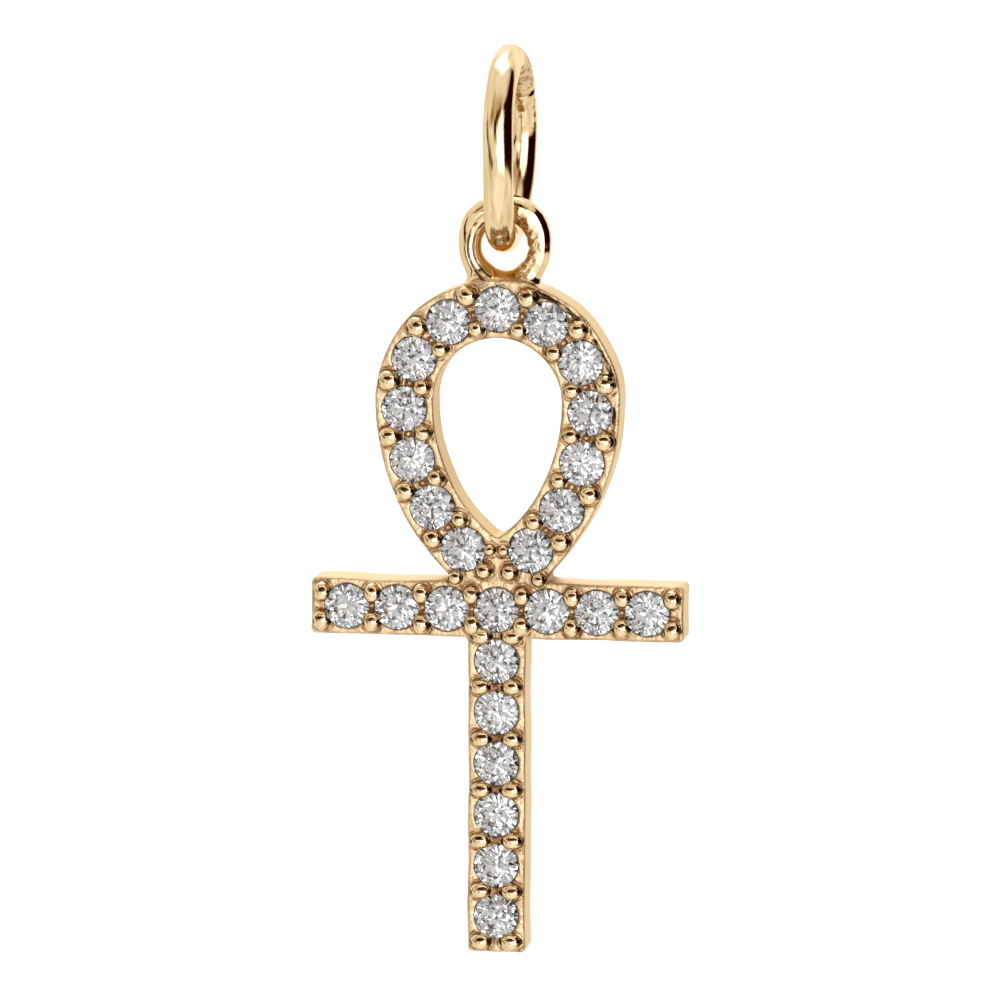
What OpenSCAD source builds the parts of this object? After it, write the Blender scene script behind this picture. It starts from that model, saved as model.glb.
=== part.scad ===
// Ankh pendant: a cast ankh set with round brilliant stones, hung by the eye on its head from a
// round jump ring. Millimetres. The set face looks along -Y and +Z is up. The origin is the top
// of the jump ring's hole, where a chain bears.

/* [Jump ring] */
// Outside diameter of the jump ring
ring_od = 6.12; // [5.4:0.02:8]
// Diameter of the jump ring's wire
ring_wire_d = 0.9; // [0.6:0.02:1]
// Turn of the jump ring about the upright, in degrees from square to the face
ring_turn = 2; // [-10:1:10]
// Lean of the jump ring to the right, in degrees
ring_lean = 1.6; // [-4:0.2:4]

/* [Eye] */
// Diameter of the hole in the eye that hangs on the jump ring
eye_hole_d = 1.46; // [1.3:0.02:2.2]
// Diameter of the eye's wire
eye_wire_d = 0.7; // [0.5:0.02:0.9]
// Height of the eye's hole above the top of the ankh
eye_rise = 0.2; // [0.02:0.02:0.3]
// Distance that the eye sits to the right of the ankh's middle
eye_offset = 0.13; // [-0.3:0.01:0.3]
// Gap between the jump ring's wire and the eye that it carries
ring_gap = 0.02; // [0.01:0.01:0.1]

/* [Ankh] */
// Width of the drop-shaped opening
opening_w = 3.82; // [3.4:0.02:5]
// Height of the drop-shaped opening, from its point to its top
opening_h = 6; // [5:0.05:8]
// Width of the band around the opening
band_w = 1.72; // [1.6:0.02:2.2]
// Drop from the opening's point to the middle of the crossbar
foot_h = 2.04; // [2:0.02:3]
// Height of the crossbar
bar_h = 1.66; // [1.6:0.02:2.2]
// Width of the shaft
shaft_w = 1.7; // [1.6:0.02:2.2]
// Thickness of the ankh, from face to back
plate_t = 1.3; // [1.1:0.05:1.8]

/* [Stones] */
// Stones on each side of the loop, below its top stone
loop_side_stones = 6; // [4:1:6]
// Stones on each side of the crossbar's middle stone
bar_side_stones = 3; // [1:1:6]
// Stones on the shaft, below the crossbar's middle stone
shaft_stones = 6; // [1:1:10]
// Diameter of a stone at its girdle
stone_d = 1.32; // [1:0.02:1.36]
// Diameter of a stone's table, across its corners
table_d = 0.74; // [0.6:0.02:0.9]
// Height of a stone's crown, from girdle to table
crown_h = 0.2; // [0.12:0.01:0.26]
// Thickness of a stone's girdle
girdle_h = 0.04; // [0.02:0.01:0.06]
// Depth of a stone's pavilion, from girdle to point
pavilion_h = 0.56; // [0.45:0.01:0.65]
// Depth of a stone's girdle below the face
girdle_sink = 0.03; // [0:0.01:0.1]
// Gap between neighbouring stones on the crossbar
bar_gap = 0.17; // [0.1:0.01:0.4]
// Gap between neighbouring stones on the shaft
shaft_gap = 0.205; // [0.1:0.005:0.4]
// Gap between the lowest stones on the two sides of the loop
twin_gap = 0.68; // [0.6:0.02:1.2]
// Space between the last stone of a row and the end of its arm
end_space = 0.42; // [0.3:0.01:0.8]

/* [Seats and prongs] */
// Gap between a stone and its seat
seat_gap = 0.02; // [0.01:0.01:0.05]
// Diameter of the light hole behind each stone
light_hole_d = 0.7; // [0.4:0.05:0.9]
// Diameter of the prongs on the outer side of the loop
outer_prong_d = 0.6; // [0.5:0.02:0.66]
// Diameter of the prongs on the inner side of the loop
inner_prong_d = 0.48; // [0.4:0.02:0.56]
// Diameter of the prongs on the crossbar and the shaft
arm_prong_d = 0.5; // [0.4:0.02:0.6]
// Distance from the middle of a prong to the edge of the face
prong_inset = 0.36; // [0.33:0.01:0.45]
// Height of a prong's middle above the face
prong_lift = 0.04; // [0:0.01:0.1]

/* [Hidden] */
$fn = 64;
// What the cuts and hidden joins run past a surface
past = 0.2;

// The jump ring and the eye, from the origin down. The ring leans about the origin, so its foot,
// where the eye hangs, is a little to one side.
ring_r = (ring_od - ring_wire_d) / 2;
ring_drop = ring_od / 2 - ring_wire_d;
foot_drop = ring_drop + ring_r;
ring_foot_x = -foot_drop * sin(ring_lean);
ring_foot_z = -foot_drop * cos(ring_lean);
eye_r = (eye_hole_d + eye_wire_d) / 2;
eye_x = ring_foot_x;
eye_z = ring_foot_z + ring_wire_d / 2 + ring_gap - eye_hole_d / 2;
ankh_x = eye_x - eye_offset;

// The loop's inner edge is half a circle over two long arcs that meet in a point. Every edge and
// row of the loop has the same three centres, and only its radii differ.
round_r = opening_w / 2;
point_h = opening_h - round_r;
side_r = (round_r * round_r + point_h * point_h) / (2 * round_r);
side_x = side_r - round_r;

// The crossbar and the shaft are as long as their rows of stones need. Both rows start at the
// stone where the arms cross.
bar_pitch = stone_d + bar_gap;
shaft_pitch = stone_d + shaft_gap;
arm_end = stone_d / 2 + end_space;
bar_l = 2 * (bar_side_stones * bar_pitch + arm_end);
shaft_l = shaft_stones * shaft_pitch + arm_end;

// Heights of the loop's centres, the opening's point, the crossbar and the shaft's foot
head_z = eye_z - eye_hole_d / 2 - eye_rise;
loop_z = head_z - band_w - round_r;
point_z = loop_z - point_h;
bar_z = point_z - foot_h;
foot_z = bar_z - shaft_l;
face_y = -plate_t / 2;
back_y = plate_t / 2;
girdle_y = face_y + girdle_sink;

// The row of stones along the middle of the band, from the top down one side. It ends where the
// last stone is twin_gap from its twin.
row_r = round_r + band_w / 2;
row_side_r = side_r + band_w / 2;
quarter_l = row_r * PI / 2;
end_x = (stone_d + twin_gap) / 2;
end_angle = acos((side_x + end_x) / row_side_r);
row_l = quarter_l + row_side_r * end_angle * PI / 180;
loop_pitch = row_l / loop_side_stones;

loop_stones = 2 * loop_side_stones + 1;
bar_stones = 2 * bar_side_stones + 1;

// A place on the band: distance s from the top along the middle, positive to the right, and
// distance out from the middle towards the outer edge
function band_turn(s) = (abs(s) - quarter_l) / row_side_r * 180 / PI;
function band_side(s, out) =
    abs(s) <= quarter_l
    ? let (a = abs(s) / row_r * 180 / PI)
      [(row_r + out) * sin(a), loop_z + (row_r + out) * cos(a)]
    : let (a = band_turn(s))
      [(row_side_r + out) * cos(a) - side_x, loop_z - (row_side_r + out) * sin(a)];
function band_place(s, out = 0) =
    let (p = band_side(s, out))
    [s < 0 ? -p[0] : p[0], p[1]];

// Places of the stones as [x, z], with x from the ankh's middle. The loop's run from the left foot
// over the top to the right one.
function loop_place(i) = band_place((i - 1 - loop_side_stones) * loop_pitch);
function bar_place(i) = [(i - 1 - bar_side_stones) * bar_pitch, bar_z];
function shaft_place(i) = [0, bar_z - i * shaft_pitch];
stone_places = concat(
    [for (i = [1 : loop_stones]) loop_place(i)],
    [for (i = [1 : bar_stones]) bar_place(i)],
    [for (i = [1 : shaft_stones]) shaft_place(i)]
);

// Prongs around the loop's lowest stones, on the side away from the row: the direction from the
// stone's middle on the right side, the space from its girdle, and the diameter as a share of an
// arm prong's. The columns are named below.
FOOT_PRONGS = [
    [180, 0.14, 0.66],
    [226, 0.24, 0.96],
    [286, 0.22, 0.8],
];
PRONG_ANGLE = 0;
PRONG_SPACE = 1;
PRONG_SHARE = 2;

// Puts something drawn around the origin, with its front towards -Y, at [x, z] on the ankh's face
module at(place, y = face_y) {
    translate([ankh_x + place[0], y, place[1]]) children();
}

// A ring of round wire in the XZ plane
module wire_ring(r, wire_d) {
    rotate([90, 0, 0])
        rotate_extrude()
            translate([r, 0]) circle(d = wire_d);
}

module jump_ring() {
    color([0.86, 0.68, 0.42])
        rotate([0, ring_lean, 0])
            translate([0, 0, -ring_drop])
                rotate([0, 0, 90 + ring_turn])
                    wire_ring(ring_r, ring_wire_d);
}

// The drop's outline, grown outwards from the opening's edge
module drop(grow) {
    reach = side_r + grow;
    intersection() {
        circle(r = round_r + grow);
        translate([-reach, 0]) square([2 * reach, reach]);
    }
    intersection() {
        translate([-side_x, 0]) circle(r = reach);
        translate([side_x, 0]) circle(r = reach);
        translate([-reach, -reach]) square([2 * reach, reach]);
    }
}

// Stands a flat outline upright around the ankh's middle, from face to back
module plate() {
    translate([ankh_x, back_y, 0])
        rotate([90, 0, 0])
            linear_extrude(height = plate_t) children();
}

module loop_band() {
    plate()
        translate([0, loop_z])
            difference() {
                drop(band_w);
                drop(0);
            }
}

module crossbar() {
    plate()
        translate([-bar_l / 2, bar_z - bar_h / 2])
            square([bar_l, bar_h]);
}

module shaft() {
    plate()
        translate([-shaft_w / 2, foot_z])
            square([shaft_w, shaft_l]);
}

module eye() {
    translate([eye_x, 0, eye_z]) wire_ring(eye_r, eye_wire_d);
}

// A round bead whose poles point out of the face and into the plate
module prong(place, d) {
    at(place, face_y - prong_lift)
        rotate([90, 0, 0]) sphere(d = d);
}

// One pair in each gap of the loop's row, either side of the middle
module loop_prongs() {
    for (i = [1 : loop_stones - 1]) {
        s = (i - 0.5 - loop_side_stones) * loop_pitch;
        prong(band_place(s, band_w / 2 - prong_inset), outer_prong_d);
        prong(band_place(s, prong_inset - band_w / 2), inner_prong_d);
    }
}

module foot_prongs() {
    lowest = loop_place(loop_stones);
    for (side = [-1, 1])
        for (row = FOOT_PRONGS) {
            far = stone_d / 2 + row[PRONG_SPACE];
            x = lowest[0] + far * cos(row[PRONG_ANGLE]);
            z = lowest[1] + far * sin(row[PRONG_ANGLE]);
            prong([side * x, z], arm_prong_d * row[PRONG_SHARE]);
        }
}

// A pair in each gap of the crossbar's row, and beyond its two end stones
module bar_prongs() {
    for (i = [0 : bar_stones])
        for (side = [-1, 1])
            prong([(i - 0.5 - bar_side_stones) * bar_pitch,
                   bar_z + side * (bar_h / 2 - prong_inset)], arm_prong_d);
}

module shaft_prongs() {
    for (i = [1 : shaft_stones + 1])
        for (side = [-1, 1])
            prong([side * (shaft_w / 2 - prong_inset),
                   bar_z - (i - 0.5) * shaft_pitch], arm_prong_d);
}

// What is cut away for one stone: the room for its crown under the prongs' tips, its girdle and
// its pavilion, and the light hole through the back
module seat() {
    r = stone_d / 2 + seat_gap;
    hole_r = light_hole_d / 2;
    cone_h = pavilion_h * (r - hole_r) / (stone_d / 2);
    girdle_top = girdle_h / 2 + seat_gap;
    crown_top = girdle_top + crown_h;
    rotate([90, 0, 0])
        rotate_extrude()
            polygon([
                [0, -plate_t - past],
                [hole_r, -plate_t - past],
                [hole_r, -girdle_h / 2 - cone_h],
                [r, -girdle_h / 2],
                [r, girdle_top],
                [table_d / 2 + seat_gap, crown_top],
                [table_d / 2 + seat_gap, crown_top + past],
                [0, crown_top + past],
            ]);
}

module ankh_frame() {
    color([0.86, 0.68, 0.42])
        difference() {
            union() {
                loop_band();
                crossbar();
                shaft();
                eye();
                loop_prongs();
                foot_prongs();
                bar_prongs();
                shaft_prongs();
            }
            for (place = stone_places) at(place, girdle_y) seat();
        }
}

// The corners of a round brilliant, one level at a time from the table down. A level is a ring of
// corners, and a turned level starts half an eighth on. Main facets stay flat because their side
// corners are put on the plane through their two ends.
half_eighth = 360 / 8 / 2;
// How far the star facets reach from the table to the girdle, and the lower girdle facets from the
// girdle to the point
star_reach = 0.5;
lower_reach = 0.75;
function level(r, z, count, start = 0) =
    [for (i = [0 : count - 1]) let (a = start + i * 360 / count) [r * cos(a), r * sin(a), z]];
function brilliant_corners() =
    let (
        r = stone_d / 2,
        table_r = table_d / 2,
        table_edge = table_r * cos(half_eighth),
        star_r = table_edge + star_reach * (r - table_edge),
        star_z = crown_h * (r - star_r * cos(half_eighth)) / (r - table_r),
        lower_r = r * (1 - lower_reach),
        lower_z = pavilion_h * (r - lower_r * cos(half_eighth)) / r,
        top = girdle_h / 2
    )
    concat(
        level(table_r, top + crown_h, 8),
        level(star_r, top + star_z, 8, half_eighth),
        level(r, top, 16),
        level(r, -top, 16),
        level(lower_r, -top - lower_z, 8, half_eighth),
        [[0, 0, -top - pavilion_h]]
    );

// Where each level starts in that list
TABLE = 0;
STAR = 8;
GIRDLE_TOP = 16;
GIRDLE_FOOT = 32;
LOWER = 48;
POINT = 56;
function brilliant_facets() =
    concat(
        [[for (i = [7 : -1 : 0]) TABLE + i]],
        [for (i = [0 : 7]) [TABLE + i, TABLE + (i + 1) % 8, STAR + i]],
        [for (i = [0 : 7]) [TABLE + i, STAR + i, GIRDLE_TOP + 2 * i, STAR + (i + 7) % 8]],
        [for (i = [0 : 7]) [STAR + i, GIRDLE_TOP + 2 * i + 1, GIRDLE_TOP + 2 * i]],
        [for (i = [0 : 7]) [STAR + i, GIRDLE_TOP + (2 * i + 2) % 16, GIRDLE_TOP + 2 * i + 1]],
        [for (i = [0 : 15]) [GIRDLE_TOP + i, GIRDLE_TOP + (i + 1) % 16,
                             GIRDLE_FOOT + (i + 1) % 16, GIRDLE_FOOT + i]],
        [for (i = [0 : 7]) [GIRDLE_FOOT + 2 * i, GIRDLE_FOOT + 2 * i + 1, LOWER + i]],
        [for (i = [0 : 7]) [GIRDLE_FOOT + 2 * i + 1, GIRDLE_FOOT + (2 * i + 2) % 16, LOWER + i]],
        [for (i = [0 : 7]) [GIRDLE_FOOT + 2 * i, LOWER + i, POINT, LOWER + (i + 7) % 8]]
    );

// A setter leaves a stone turned as it falls, so each has its own turn, drawn once, within an eighth.
STONE_DRAW = 7;
stone_turns = rands(0, 2 * half_eighth, len(stone_places), STONE_DRAW);

module stone(place, turn) {
    color([0.9, 0.92, 0.95, 0.6])
        at(place, girdle_y)
            rotate([90, turn, 0])
                polyhedron(points = brilliant_corners(), faces = brilliant_facets());
}

jump_ring();
ankh_frame();
for (i = [1 : loop_stones])
    stone(loop_place(i), stone_turns[i - 1]);
for (i = [1 : bar_stones])
    stone(bar_place(i), stone_turns[loop_stones + i - 1]);
for (i = [1 : shaft_stones])
    stone(shaft_place(i), stone_turns[loop_stones + bar_stones + i - 1]);
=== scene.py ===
# %% [markdown]
# # An ankh pendant in yellow gold and clear stones
# The pendant is a flat casting in the form of an ankh, set with twenty-six small brilliants that are
# held by beads of the casting itself. A plain round eye on its head hangs on a jump ring.
# The measured solids come from the CAD part. This lesson dresses them: the wire ring and the casting
# get finer skins, the stones get their cut-stone finish, and a small photographic tent lights them.

# %% The part
import math

import bpy
import numpy as np
from mathutils import Matrix, Vector


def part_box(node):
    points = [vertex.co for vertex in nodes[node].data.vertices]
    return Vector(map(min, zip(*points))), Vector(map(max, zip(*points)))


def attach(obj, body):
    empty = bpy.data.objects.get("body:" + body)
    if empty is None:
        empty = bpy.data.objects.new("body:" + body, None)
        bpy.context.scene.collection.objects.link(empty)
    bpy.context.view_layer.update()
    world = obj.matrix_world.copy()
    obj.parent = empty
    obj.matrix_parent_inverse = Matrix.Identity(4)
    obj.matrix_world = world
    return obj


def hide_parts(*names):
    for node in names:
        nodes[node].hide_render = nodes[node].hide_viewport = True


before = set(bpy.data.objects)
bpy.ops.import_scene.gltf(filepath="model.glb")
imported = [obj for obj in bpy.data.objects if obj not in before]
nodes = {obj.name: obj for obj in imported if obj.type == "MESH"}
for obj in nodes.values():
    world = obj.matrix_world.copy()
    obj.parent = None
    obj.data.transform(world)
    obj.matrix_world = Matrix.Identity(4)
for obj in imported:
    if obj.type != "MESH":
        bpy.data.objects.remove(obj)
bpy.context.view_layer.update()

# %% [markdown]
# ## Shader maths that reads as Python
# A finish is a sum of many small rules: a little darker in the crevices, a little rougher where the
# casting was not polished. Blender keeps such rules as nodes. One small class wraps a socket, so that
# a rule can be written as an expression and adds its own Math nodes, and one method makes any other
# node from its type, its settings and the values or links of its sockets.

# %% One class for shader maths
class Wire:
    """A value in a node tree. Sums, products and powers of wires add Math nodes to that tree."""

    def __init__(self, tree, socket=None):
        self.tree, self.socket = tree, socket

    def node(self, kind, settings=None, sockets=None, out=0):
        """Adds a node: its settings first, then the values or links of its sockets."""
        made = self.tree.nodes.new(kind)
        for name, value in (settings or {}).items():
            setattr(made, name, value)
        for name, value in (sockets or {}).items():
            if isinstance(value, Wire):
                self.tree.links.new(value.socket, made.inputs[name])
            else:
                made.inputs[name].default_value = value
        return Wire(self.tree, made.outputs[out]) if len(made.outputs) else None

    def other(self, name):
        """Another output of the node that this wire comes out of."""
        return Wire(self.tree, self.socket.node.outputs[name])

    def maths(self, operation, *values):
        return self.node("ShaderNodeMath", {"operation": operation}, dict(enumerate(values)))

    def __add__(self, other): return self.maths("ADD", self, other)
    def __radd__(self, other): return self.maths("ADD", other, self)
    def __sub__(self, other): return self.maths("SUBTRACT", self, other)
    def __rsub__(self, other): return self.maths("SUBTRACT", other, self)
    def __mul__(self, other): return self.maths("MULTIPLY", self, other)
    def __rmul__(self, other): return self.maths("MULTIPLY", other, self)
    def __pow__(self, other): return self.maths("POWER", self, other)

    def rise(self, low, high):
        """Nought below low, one above high and a smooth climb between them."""
        return self.node("ShaderNodeMapRange", {"interpolation_type": "SMOOTHSTEP"},
                         {"Value": self, "From Min": low, "From Max": high})

    def between(self, first, second):
        """The mix of two colours, with this wire as the share of the second."""
        return self.node("ShaderNodeMix", {"data_type": "RGBA"}, {0: self, 6: first, 7: second}, out=2)


def finish(name):
    """A new material with an empty tree, and that tree as a wire."""
    material = bpy.data.materials.new(name)
    material.use_nodes = True
    material.node_tree.nodes.clear()
    return material, Wire(material.node_tree)


def principled(paint, sockets):
    """The last node of a finish: the shader with those sockets, joined to the material's output."""
    shader = paint.node("ShaderNodeBsdfPrincipled", None, sockets)
    paint.node("ShaderNodeOutputMaterial", None, {"Surface": shader})


def colour(r, g, b):
    return (r, g, b, 1.0)


def noise(paint, place, scale, detail=2.0):
    return paint.node("ShaderNodeTexNoise", None, {"Vector": place, "Scale": scale, "Detail": detail})


def attribute(paint, name, out="Fac"):
    return paint.node("ShaderNodeAttribute", {"attribute_name": name}, out=out)


def bump(paint, height, distance):
    return paint.node("ShaderNodeBump", None, {"Strength": 1.0, "Distance": distance, "Height": height})


def line(value, middle, thick):
    """One where a value is near a middle one, nought further off than the line is thick."""
    return 1 - value.maths("ABSOLUTE", value - middle).rise(thick * 0.35, thick)


# %% [markdown]
# ## The camera
# The photograph was taken from a little to the right of the pendant and a little above it, with a long
# lens, so the shaft's right wall shows as a narrow strip. The camera's three axes are written out from
# those two angles. A long lens far away would flatten the pendant more; 260 mm agrees with how its
# near and far parts line up.

# %% Where the camera stands
MM = 0.001
TURN, LIFT, ROLL = np.radians([9.5, 8.2, 0.11])
DISTANCE = 260.0
AIM = np.array([-0.231, -0.258, -12.50])
PIXELS_PER_MM = 34.04
PICTURE = 1000
SENSOR = 36.0

rightward = np.array([math.cos(TURN), math.sin(TURN), 0.0])
upward = np.array([-math.sin(TURN) * math.sin(LIFT), math.cos(TURN) * math.sin(LIFT), math.cos(LIFT)])
backward = np.cross(rightward, upward)
across = rightward * math.cos(ROLL) + upward * math.sin(ROLL)
upright = upward * math.cos(ROLL) - rightward * math.sin(ROLL)
stand = AIM + DISTANCE * backward

lens = bpy.data.cameras.new("photo_camera")
lens.sensor_width = SENSOR
lens.lens = SENSOR * PIXELS_PER_MM * DISTANCE / PICTURE
lens.clip_start, lens.clip_end = 0.01, 20.0
camera = bpy.data.objects.new("photo_camera", lens)
axes_of_view = Matrix(np.column_stack([across, upright, backward])).to_4x4()
camera.matrix_world = Matrix.Translation(Vector(stand * MM)) @ axes_of_view
bpy.context.scene.collection.objects.link(camera)
bpy.context.scene.camera = camera
print("lens %.1f mm, camera at %s mm" % (lens.lens, stand.round(1)))

# %% [markdown]
# ## Sizes of the casting
# The skins have to lie on the CAD part, so they use its sizes, in millimetres. The stones' places are
# read from their own boxes, and the casting's thickness and top from its box. Lengths from side to side
# are counted from the middle of the ankh, and heights from the frame's origin.

# %% Sizes and the stones' places
LOOP_STONES, BAR_STONES, SHAFT_STONES = 13, 7, 6
OPENING_W, OPENING_H, BAND_W = 3.82, 6.0, 1.72
BAR_H, SHAFT_W, ARM_END = 1.66, 1.7, 1.08
EYE_HOLE, EYE_WIRE, EYE_ASIDE = 1.46, 0.7, 0.13
STONE_D, TABLE_D, CROWN_H, GIRDLE_H, PAVILION_H = 1.32, 0.74, 0.2, 0.04, 0.56
SEAT_GAP, LIGHT_HOLE = 0.014, 0.7
OUTER_BEAD, INNER_BEAD, ARM_BEAD, BEAD_LIFT = 0.65, 0.53, 0.55, 0.04
BEAD_INSET, ARM_INSET = 0.37, 0.395


def corners(node):
    """The lowest and highest corner of a CAD node, in millimetres."""
    low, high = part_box(node)
    return np.array(low) / MM, np.array(high) / MM


def stone_row(name, count):
    """Middle of each stone of a row, as x and z."""
    boxes = [corners(f"{name}_{i + 1}") for i in range(count)]
    return np.array([(low + high) / 2 for low, high in boxes])[:, [0, 2]]


ankh_high = corners("ankh_frame")[1]
loop_row = stone_row("loop_stone", LOOP_STONES)
bar_row = stone_row("bar_stone", BAR_STONES)
shaft_row = stone_row("shaft_stone", SHAFT_STONES)
stones = np.concatenate([loop_row, bar_row, shaft_row])
MIDDLE = bar_row[BAR_STONES // 2, 0]
BAR_Z = bar_row[0, 1]
HALF = ankh_high[1]
FACE = -HALF
TABLE_Y = corners("bar_stone_1")[0][1]
GIRDLE_Y = TABLE_Y + CROWN_H + GIRDLE_H / 2
BAR_L = bar_row[-1, 0] - bar_row[0, 0] + 2 * ARM_END
FOOT_Z = shaft_row[-1, 1] - ARM_END
for row in (loop_row, bar_row, shaft_row, stones):
    row[:, 0] -= MIDDLE
print("face at %.2f mm, stone tables at %.2f mm, crossbar %.2f mm long" % (FACE, TABLE_Y, BAR_L))

# %% [markdown]
# ## The loop's centre line
# The loop's opening is a drop: half a circle over two long arcs that meet in a point. Every line that
# runs along the band, such as the row of stones or a row of beads, keeps the same centres and changes
# only its radius. So one function gives any place on the band from two numbers: how far along it is,
# and how far out.

# %% Places along the band
ROUND_R = OPENING_W / 2
POINT_H = OPENING_H - ROUND_R
SIDE_R = (ROUND_R**2 + POINT_H**2) / (2 * ROUND_R)
SIDE_X = SIDE_R - ROUND_R
ROW_R, ROW_SIDE_R = ROUND_R + BAND_W / 2, SIDE_R + BAND_W / 2
QUARTER = ROW_R * math.pi / 2
LOOP_Z = loop_row[LOOP_STONES // 2, 1] - ROW_R
END_ANGLE = math.acos((SIDE_X + loop_row[-1, 0]) / ROW_SIDE_R)
PITCH = (QUARTER + ROW_SIDE_R * END_ANGLE) / (LOOP_STONES // 2)


def band_place(along, out):
    """Along the band from its top, then out from the row: on a circle up to the quarter, and on a
    longer arc with its centre beyond the middle from there on."""
    along = np.asarray(along, float)
    turn = np.abs(along) / ROW_R
    arc = (np.abs(along) - QUARTER) / ROW_SIDE_R
    on_top = np.abs(along) <= QUARTER
    x = np.where(on_top, (ROW_R + out) * np.sin(turn), (ROW_SIDE_R + out) * np.cos(arc) - SIDE_X)
    z = np.where(on_top, (ROW_R + out) * np.cos(turn), -(ROW_SIDE_R + out) * np.sin(arc))
    return np.column_stack([np.where(along < 0, -x, x), LOOP_Z + z])


seat_number = np.arange(LOOP_STONES) - LOOP_STONES // 2
drift = np.abs(band_place(seat_number * PITCH, 0) - loop_row).max()
print("the row of stones is met to %.4f mm" % drift)

# %% [markdown]
# ## The beads
# A setter raises beads at the corners between two stones and pushes them over the stones' edges. On a
# casting like this they are part of the wax model already: round drops of metal, no two quite alike.
# Their places follow from the gaps between the stones, and a seeded draw moves and sizes each a little.

# %% Where the beads stand
chance = np.random.default_rng(11)
# Round the loop's lowest stone: direction in degrees, space from its girdle, share of an arm bead's size
FOOT_BEADS = [(180, 0.14, 0.66), (226, 0.24, 0.96), (286, 0.22, 0.8)]
ROUND, BAR_STRETCH, SHAFT_STRETCH = (1.0, 1.0), (0.98, 1.12), (1.16, 0.95)
BEAD_SHIFT, LEAST_BEAD = 0.02, 0.93


def bead_rows():
    """Rows of x, z, diameter and stretch along x and z, one for each bead. The beads of the crossbar
    and the shaft are a little longer across their row than along it."""
    gaps = (seat_number[:-1] + 0.5) * PITCH
    outer = band_place(gaps, BAND_W / 2 - BEAD_INSET)
    inner = band_place(gaps, BEAD_INSET - BAND_W / 2)
    bar_pitch = bar_row[1, 0] - bar_row[0, 0]
    bar_x = (np.arange(BAR_STONES + 1) - 0.5 - BAR_STONES // 2) * bar_pitch
    shaft_pitch = shaft_row[0, 1] - shaft_row[1, 1]
    shaft_z = BAR_Z - (np.arange(SHAFT_STONES + 1) + 0.5) * shaft_pitch
    rows = [(outer, OUTER_BEAD, ROUND), (inner, INNER_BEAD, ROUND)]
    for side in (-1, 1):
        bar_side = np.full_like(bar_x, BAR_Z + side * (BAR_H / 2 - ARM_INSET))
        shaft_side = np.full_like(shaft_z, side * (SHAFT_W / 2 - ARM_INSET))
        rows += [(np.column_stack([bar_x, bar_side]), ARM_BEAD, BAR_STRETCH),
                 (np.column_stack([shaft_side, shaft_z]), ARM_BEAD, SHAFT_STRETCH)]
        for angle, space, share in FOOT_BEADS:
            away = STONE_D / 2 + space
            x = loop_row[-1, 0] + away * math.cos(math.radians(angle))
            z = loop_row[-1, 1] + away * math.sin(math.radians(angle))
            rows.append((np.array([[side * x, z]]), ARM_BEAD * share, ROUND))
    return np.concatenate([np.column_stack([place, np.tile([size, *stretch], (len(place), 1))])
                           for place, size, stretch in rows])


beads = bead_rows()
beads[:, :2] += chance.uniform(-BEAD_SHIFT, BEAD_SHIFT, (len(beads), 2))
beads[:, 2] *= chance.uniform(LEAST_BEAD, 1.0, len(beads))
print("beads:", len(beads))

# %% [markdown]
# ## The casting as one distance
# The real casting is one piece of metal: bars, loop, eye and beads flow into each other, and the seats
# are cut out of that. Sheets and swept profiles would meet in hard seams here, and booleans leave
# ragged edges. So this piece is made another way. One function says how far any point is from the
# metal, a smooth minimum melts the members together, and the skin is laid where the distance is nought.

# %% Melting and cutting distances
def melt(a, b, fillet):
    """The smaller of two distances. Where they differ by less than the fillet it is a mix of both, less
    a little, which makes a round fillet of about that size."""
    share = np.clip(0.5 + (b - a) / (2 * fillet), 0, 1)
    return b + (a - b) * share - fillet * share * (1 - share)


def cut(a, b, edge):
    """What is left of a when b is cut away, with its edge softened."""
    return -melt(-a, b, edge)


def rounded_box(x, z, half_x, half_z, corner):
    """Distance to a rectangle with round corners: past both sides it is the corner's own circle."""
    over_x, over_z = np.abs(x) - half_x + corner, np.abs(z) - half_z + corner
    outside = np.hypot(np.maximum(over_x, 0), np.maximum(over_z, 0))
    return outside + np.minimum(np.maximum(over_x, over_z), 0) - corner


class Ripple:
    """Smooth unevenness: a sum of plane waves in random directions, all of about one length."""

    def __init__(self, length, waves=18):
        turn = chance.uniform(0, 2 * np.pi, waves)
        size = 2 * np.pi / (length * chance.uniform(0.7, 1.4, waves))
        self.wave = np.column_stack([np.cos(turn), np.sin(turn)]) * size[:, None]
        self.start = chance.uniform(0, 2 * np.pi, waves)

    def __call__(self, u, v):
        total = np.zeros_like(u)
        for (a, b), start in zip(self.wave, self.start):
            total += np.cos(a * u + b * v + start)
        return total * math.sqrt(2 / len(self.start))


edge_waves, face_waves, face_grain, fine_grain = Ripple(2.6), Ripple(0.8), Ripple(0.28), Ripple(0.15)
hammer_marks = Ripple(0.2)

# %% [markdown]
# The casting's own sizes are in millimetres, and directions round the loop and the eye are in degrees.
# The loop counts them from its top to the right, and the eye from its right side up.

# %% Sizes of the metal
LOOP_FILLET, SHAFT_FILLET, EYE_FILLET, BEAD_FILLET = 0.34, 0.16, 0.42, 0.03
TIP, BAR_CORNER, SHAFT_CORNER, EDGE, SOFT_EDGE = 0.14, 0.16, 0.12, 0.07, 0.015
OUTLINE_INSET, OUTLINE_WAVE = 0.005, 0.010
FACE_SINK, FACE_WAVE, FACE_GRAIN, FACE_FINE = 0.02, 0.006, 0.005, 0.003
GROOVE, GROOVE_W = 0.03, 0.045
CHANNEL, CHANNEL_R = 0.16, 0.13
RIM_GROOVE, RIM_AT, RIM_W = 0.05, 0.17, 0.05
GRAVED_FROM, GRAVED_DEEP, GRAVED_TO, GRAVED_FADE, GRAVED_STEP, GRAVED_FAINT = -50, 12, 112, 20, 8, 0.3
GRAVED_ABOVE, GRAVED_MEAN, GRAVED_BREAKS = 1.5, 0.8, 0.45
BEAD_POWER, BEAD_TALL = 2.15, 0.9
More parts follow.
